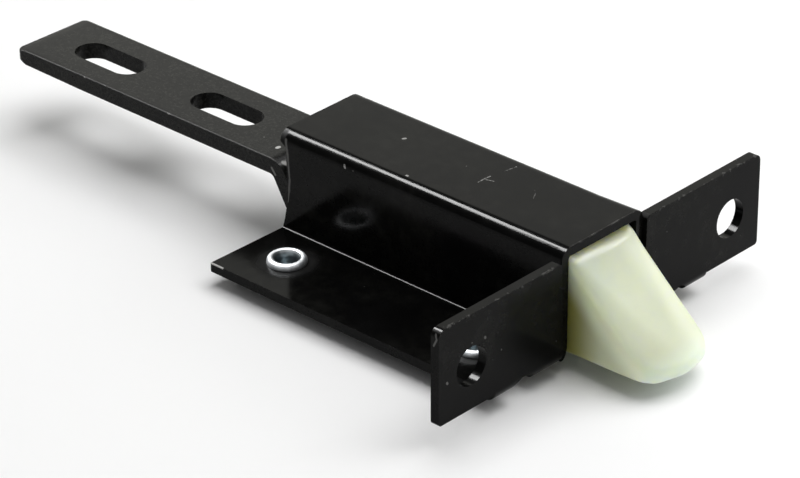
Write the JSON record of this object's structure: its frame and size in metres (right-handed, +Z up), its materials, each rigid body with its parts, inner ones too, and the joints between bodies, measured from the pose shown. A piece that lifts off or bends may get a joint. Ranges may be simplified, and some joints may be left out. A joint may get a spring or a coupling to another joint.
{
  "type": "compartment door slam latch",
  "caption": "Spring-loaded door latch: a nylon slam bolt in a folded steel channel with bolt-down ears, drawn back by a flat slotted pull bar.",
  "frame": {"origin": "midway between the two ear holes, on the front face of the ears", "axes": "+X out of the mouth along the bolt's travel, +Y towards the ear on the right when facing the mouth, +Z up from the flanges to the top of the channel"},
  "size_m": [0.2326, 0.1264, 0.0361],
  "materials": {
    "black_paint": "semi-gloss black paint on steel",
    "zinc_plate": "bright zinc plate",
    "natural_nylon": "natural translucent nylon, satin",
    "bright_steel": "ground steel",
    "spring_steel": "drawn wire"
  },
  "bodies": {
    "frame": {"housing": "black_paint", "bottom_cover": "black_paint", "flange_rivets": "zinc_plate", "return_spring": "spring_steel"},
    "bolt_carriage": {"latch_bolt": "natural_nylon", "bolt_pins": "bright_steel", "pull_bar": "black_paint"}
  },
  "joints": [
    {"name": "bolt_slide", "type": "slide", "parent": "frame", "child": "bolt_carriage", "axis": [-1, 0, 0], "range_m": [0, 0.028], "stiffness_N_per_m": 600, "springref_m": -0.03, "deforming": ["return_spring"]}
  ]
}
